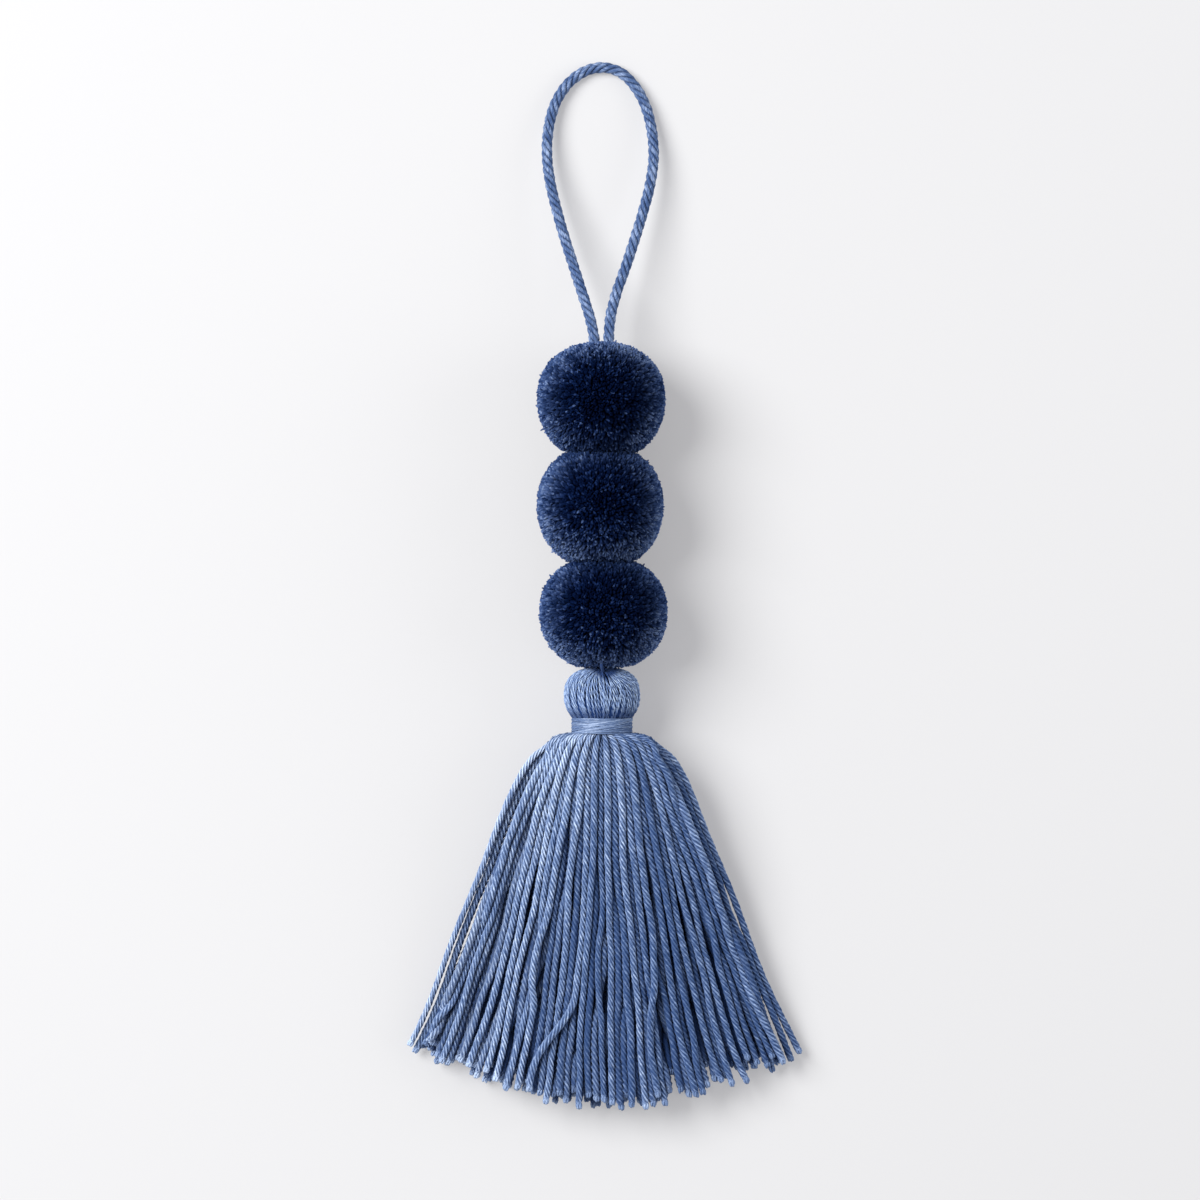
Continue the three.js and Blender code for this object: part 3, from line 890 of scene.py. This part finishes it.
def make_skirt(material):
    """The loose strands, in a few pieces to keep each one small."""
    strands, radius, s = lay_strands()
    pieces = [Yarns() for _ in range(3)]
    for number, (line, share, inner, face, cover) in enumerate(strands):
        shown = np.mean(cover) < 0.7 and face > 0
        short = 0.5 + 5 * share**2 * (1 - share**2) if share < 0 else -2.5 * share**6
        short += 0 if shown else 2 * rng.random()
        uneven = np.clip(1.7 * rng.normal(), -4, 2.2) * (0.3 if abs(share) > 0.95 else 1)
        length = STRAND_LENGTH + (uneven - short) * MM
        step = STRAND_STEP if shown else 2.0 * STRAND_STEP
        path = resample(np.vstack(([line[0] + 2.5 * MM * Y], line)), step, length)
        left = (length - arc_lengths(path)) / MM
        thick = np.interp(NECK_END - path[:, 1], s, radius) * (1 if shown else 1.2)
        thick = thick * mix(0.62, 1, np.sqrt(np.clip(left / 1.8, 0, 1)))
        thick = thick * np.clip(1 + 0.07 * rng.normal(), 0.86, 1.12)
        thick = thick * (1 + 0.05 * np.sin(TURN * (left / mix(5, 8, rng.random()) + rng.random())))
        path[:, 2] = np.maximum(path[:, 2], thick)
        below = (NECK_END - path[:, 1]) / MM
        tint = strand_tint(share, below, left)
        # Painted shade on the strands that come from deep inside the neck.
        buried = 0.55 * smooth((inner - 0.2) / 0.5)
        outward = unit(np.array((0.7 * share, 0, face)))
        lead = mix(NECK_LEAD, STRAND_LEAD, smooth((NECK_END - path[:, 1]) / (25 * MM)))
        turn = add_yarn(
            pieces[number % 3], path, thick, SKIRT_SHAPE if shown else HIDDEN_SHAPE,
            lead * (0.92 + 0.16 * rng.random()), outward=outward, buried=buried,
            covered=np.interp(NECK_END - path[:, 1], s, cover), tint=tint, start=TURN * rng.random(),
        )
        add_frayed_end(pieces[number % 3], path, STRAND_RADIUS, tint[-1], buried, turn)
    print(f"skirt: {number + 1} strands")
    for number, yarns in enumerate(pieces):
        yarns.build(f"skirt_strands_{number + 1}", material, "plied_yarn", "tassel")


# ---- The head and its wrap ----

HEAD_STRANDS = 86
HEAD_RADIUS = 12.0 * MM
HEAD_POLE, HEAD_FOOT = 9.3 * MM, 11.1 * MM  # how far it reaches from its middle, toward each end
HEAD_SQUARENESS = 2.6  # power of its profile above the middle, where 2 is an ellipse
HEAD_TILT = math.radians(22)  # the strands come together on the front of the head, at the tie
HEAD_MIDDLE = -59.6 * MM
HEAD_CORE_DEPTH = 0.9 * MM
HEAD_STRAND_RADIUS = 0.48 * MM
HEAD_SHAPE = section(2, 0.2)
HEAD_LEAD = -4.6 * MM
HEAD_SLANT = 0.15  # how far a strand turns round the head on its way down
HEAD_CLOSENESS = 0.97  # of the strands, where 1 just fills a ring round the head
HEAD_TUCK = WRAP_HIGH[1] - 1.2 * MM  # where the head goes on inside the wrap
# Number of strands, how far they lie off the head, and the spread of their slants and of their places.
HEAD_LAYERS = [(HEAD_STRANDS, -0.5 * MM, 0.07, 0.12), (24, -0.35 * MM, 0.25, 0.5)]

# Painted shade on the head round the tie, in the shadow behind the lowest ball and above the wrap. The second
# has its middle at a place on the head and reaches so far each way.
TIE_SHADE, BALL_SHADE, WRAP_SHADE = 0.97, 0.96, 0.84
BALL_SHADE_PLACE, BALL_SHADE_REACH = (1.3 * MM, -51.5 * MM), (5.5 * MM, 3.8 * MM)

TIE_RADIUS = 0.5 * MM
# The end of the tie, which comes out of the lowest ball and goes into the head, in millimetres.
TIE_ROUTE = [
    (-0.3, -48.2, 29.0), (-0.1, -49.4, 29.2), (0.0, -50.6, 28.0), (0.2, -51.6, 26.0), (0.3, -52.0, 23),
]


def head_axis_height(y):
    return mix(AXIS_HEIGHT, NECK[2], smooth((-45 * MM - y) / (21 * MM)))


def head_line(turn, slant, lift, first=6, last=123, count=48):
    """A strand on the head from the tie to the neck, at a turn round the axis, and its distance from the tie.

    first and last are the angles from the head's pole between which it lies, in degrees.
    """
    fall = np.radians(np.linspace(first, last, count))
    turn = turn + slant * np.linspace(-0.5, 0.5, count)
    x, y, z = np.sin(fall) * np.sin(turn), np.cos(fall), np.sin(fall) * np.cos(turn)
    tilt = HEAD_TILT * (1 - smooth(fall / math.radians(110)))
    y, z = y * np.cos(tilt) - z * np.sin(tilt), y * np.sin(tilt) + z * np.cos(tilt)
    power = np.where(y > 0, HEAD_SQUARENESS, 2)
    reach = (np.hypot(x, z) ** power + np.abs(y) ** power) ** (-1 / power)
    ring, rise = HEAD_RADIUS + lift, np.where(y > 0, HEAD_POLE, HEAD_FOOT) + lift
    y = HEAD_MIDDLE + rise * reach * y
    line = together(ring * reach * x, y, head_axis_height(y) + ring * reach * z)
    held = WAIST_RADIUS - 0.3 * MM
    tucked = np.array([held * np.sin(turn[-1]), HEAD_TUCK, NECK[2] + held * np.cos(turn[-1])])
    spread = ring * np.sin(fall)
    return np.vstack((line, tucked)), np.concatenate((spread, spread[-1:]))


def head_shade(path, spread):
    """How much painted shade a strand gets along its path, which lies at distances from the tie."""
    at_tie = TIE_SHADE * (1 - smooth((spread - 2 * MM) / (3 * MM)))
    away = np.abs(path[:, 0] - BALL_SHADE_PLACE[0]) / BALL_SHADE_REACH[0]
    away += np.clip(BALL_SHADE_PLACE[1] - path[:, 1], 0, None) / BALL_SHADE_REACH[1]
    behind_ball = BALL_SHADE * (1 - smooth((away - 0.6) / 0.65))
    above_wrap = WRAP_SHADE * smooth(1.2 - (path[:, 1] - WRAP_HIGH[1]) / (4 * MM))
    return np.maximum(at_tie, np.maximum(behind_ball, above_wrap))


def make_head(material):
    """The folded strands over the head: a close layer, then a few that cross on top of it."""
    yarns = Yarns()
    middle = np.array((0, HEAD_MIDDLE, head_axis_height(HEAD_MIDDLE)))
    sizes = np.array((HEAD_RADIUS, HEAD_POLE, HEAD_FOOT)) - HEAD_CORE_DEPTH
    # The core under the strands is all painted shade.
    add_core(yarns, middle, sizes, HEAD_TUCK, middle[1] + HEAD_POLE, buried=1.0)
    for count, off, slant, wander in HEAD_LAYERS:
        for k in range(count):
            turn = TURN * (k + wander * rng.normal()) / count
            lift = off + 0.1 * MM * rng.normal()
            line, spread = head_line(turn, HEAD_SLANT + slant * rng.normal(), lift)
            radius = np.clip(HEAD_CLOSENESS * math.pi * spread / HEAD_STRANDS, 0.2 * MM, HEAD_STRAND_RADIUS)
            tint = float(np.clip(0.45 + 0.12 * rng.normal(), 0, 1))
            reference = np.array([math.cos(turn), 0, -math.sin(turn)])
            outward = np.array([math.sin(turn), 0, math.cos(turn)])
            path = resample(line, 0.6 * MM)
            at, known = np.linspace(0, 1, len(path)), np.linspace(0, 1, len(line))
            radius, spread = np.interp(at, known, radius), np.interp(at, known, spread)
            add_yarn(
                yarns, path, radius, HEAD_SHAPE, HEAD_LEAD * mix(0.85, 1.15, rng.random()), reference,
                outward=outward, buried=head_shade(path, spread), tint=tint, start=TURN * rng.random(),
            )
    tie = resample(curve_through(np.array(TIE_ROUTE) * MM), 0.5 * MM)
    thick = TIE_RADIUS * np.interp(np.linspace(0, 1, len(tie)), (0, 0.5, 1), (0.9, 1.0, 1.2))
    # The tie gets painted shade, as it lies under the lowest ball.
    add_yarn(yarns, tie, thick, section(3, 0.1), -3 * MM, X, buried=0.9, tint=0.12)
    yarns.build("tassel_head", material, "plied_yarn", "tassel")


WRAP_TURNS = 15
THREAD_RADIUS = 0.21 * MM
THREAD_LEAD = 90 * MM
WRAP_RING, WRAP_CROSSING_RING = WRAP_RADIUS - 0.55 * MM, WRAP_RADIUS - 0.38 * MM
# Single turns wound over the others: distance above the band's middle, and how far they climb.
WRAP_CROSSINGS = [
    (0.0, 2.2), (-0.4, 1.9), (0.4, 1.9), (-0.8, 1.5), (0.8, 1.5), (-1.2, 1.1), (1.2, 1.1), (-0.2, 2.1),
    (0.6, 1.2), (-1.5, 0.8), (1.6, 0.6), (-1.9, 0.3), (2.0, 0.2), (0.2, -0.6),
]
# Painted highlight: every turn of the thread is paler left of the middle, where the light falls.
WRAP_PAINTED_HIGHLIGHT = 0.4  # the crossed turns lie flatter, and look paler, left of the middle


def make_wrap(material):
    """The thread wound round the neck, a little unevenly, with a few turns that cross the others."""
    yarns = Yarns()
    turn = math.pi + np.linspace(0, TURN * WRAP_TURNS, WRAP_TURNS * 48)  # it starts and ends at the back
    top, bottom = WRAP_HIGH[1] - THREAD_RADIUS, WRAP_LOW[1] + THREAD_RADIUS
    y = mix(top, bottom, np.linspace(0, 1, len(turn))) + 0.08 * MM * np.sin(2.3 * turn)
    windings = [(turn, y, WRAP_RING, 0.2)]
    once = math.pi + np.linspace(0, TURN * 1.02, 60)
    for above, climb in WRAP_CROSSINGS:
        slope = climb * np.sin(once) + 0.12 * np.sin(3 * once + 5 * climb)
        y = NECK[1] + (above + slope) * MM
        windings.append((once, y, WRAP_CROSSING_RING, 0.2 + 0.5 * rng.random()))
    for around, y, ring, tint in windings:
        outward = together(np.sin(around), 0, np.cos(around))
        line = ring * outward + np.array((NECK[0], 0, NECK[2]))
        line[:, 1] = y
        # Painted highlight left of the middle.
        tint = tint + WRAP_PAINTED_HIGHLIGHT * np.exp((np.cos(around + 0.4) - 1) / 0.08)
        add_yarn(yarns, line, THREAD_RADIUS, ROUND_SHAPE, THREAD_LEAD, Y, outward=outward, tint=tint)
    yarns.build("neck_wrap_thread", material, "wrap_thread", "neck_wrap")


# ---- The studio ----

VIEW_WIDTH = 375 * MM
VIEW_CENTRE = np.array([-0.6, -29.7, 10.0]) * MM
CAMERA_HEIGHT = 2.0

# Name, place, size and power in watts.
LIGHTS = [("key", (-1.12, 0.50, 1.38), 1.26, 45.2), ("fill", (2.0, 0.1, 1.0), 1.5, 12.8)]
LIGHT_AIM = (0, -0.03, 0)
SKY_COLOUR, SKY_STRENGTH = (0.93, 0.95, 1.0, 1), 0.42

FLOOR_HALF, FLOOR_DROP = 6.0, 0.02 * MM
FLOOR_COLOUR = (0.44, 0.44, 0.44, 1)
FLOOR_GLOW = 0.285  # the floor is a softly lit table, which lightens the shadows


def make_camera():
    data = bpy.data.cameras.new("camera")
    data.sensor_width = 36
    data.lens = data.sensor_width * (CAMERA_HEIGHT - VIEW_CENTRE[2]) / VIEW_WIDTH
    camera = bpy.data.objects.new("camera", data)
    camera.location = (VIEW_CENTRE[0], VIEW_CENTRE[1], CAMERA_HEIGHT)
    data.clip_start, data.clip_end = 0.05, 20
    bpy.context.scene.collection.objects.link(camera)
    bpy.context.scene.camera = camera


def make_light(name, place, size, power):
    data = bpy.data.lights.new(name, "AREA")
    data.shape, data.size, data.energy = "DISK", size, power
    light = bpy.data.objects.new(name, data)
    light.location = place
    light.rotation_euler = (Vector(place) - Vector(LIGHT_AIM)).to_track_quat("Z", "Y").to_euler()
    bpy.context.scene.collection.objects.link(light)


def make_studio():
    mesh = bpy.data.meshes.new("floor")
    corners = [(x * FLOOR_HALF, y * FLOOR_HALF, 0) for x, y in ((-1, -1), (1, -1), (1, 1), (-1, 1))]
    mesh.from_pydata(corners, [], [(0, 1, 2, 3)])
    floor = bpy.data.objects.new("floor", mesh)
    bpy.context.scene.collection.objects.link(floor)
    floor.location.z = -FLOOR_DROP
    shader = Shader("pale_floor")
    glow = dict(Emission_Color=(1.0, 0.98, 1.0, 1), Emission_Strength=FLOOR_GLOW)
    shader.finish(Base_Color=FLOOR_COLOUR, Roughness=0.9, **glow)
    mesh.materials.append(shader.material)

    world = bpy.data.worlds.new("studio")
    bpy.context.scene.world = world
    world.use_nodes = True
    background = world.node_tree.nodes["Background"]
    background.inputs["Color"].default_value = SKY_COLOUR
    background.inputs["Strength"].default_value = SKY_STRENGTH
    for light in LIGHTS:
        make_light(*light)
    bpy.context.scene.view_settings.view_transform = "Standard"


# ---- Everything ----

# Each cotton's colours: the painted shade between its plies and in its crevices, then those of its dark,
# middle and light fibres.
cotton = yarn_material(
    "plied_cotton", (0.0140, 0.039, 0.130), (0.062, 0.113, 0.252), (0.255, 0.358, 0.585), (0.63, 0.76, 0.98)
)
head_cotton = yarn_material(
    "head_cotton", (0.012, 0.038, 0.145), (0.084, 0.156, 0.360), (0.330, 0.465, 0.755), (0.68, 0.83, 1.00)
)
cord_cotton = yarn_material(
    "cord_cotton", (0.006, 0.020, 0.080), (0.036, 0.073, 0.198), (0.098, 0.162, 0.325), (0.36, 0.46, 0.68)
)
thread_cotton = yarn_material(
    "thread_cotton", (0.014, 0.036, 0.120), (0.055, 0.098, 0.232), (0.130, 0.198, 0.355), (0.42, 0.52, 0.72)
)
pile = pile_material()

make_camera()
make_cord(cord_cotton)
for ball in BALLS:
    make_ball(ball, pile)
make_head(head_cotton)
make_wrap(thread_cotton)
make_skirt(cotton)
make_studio()
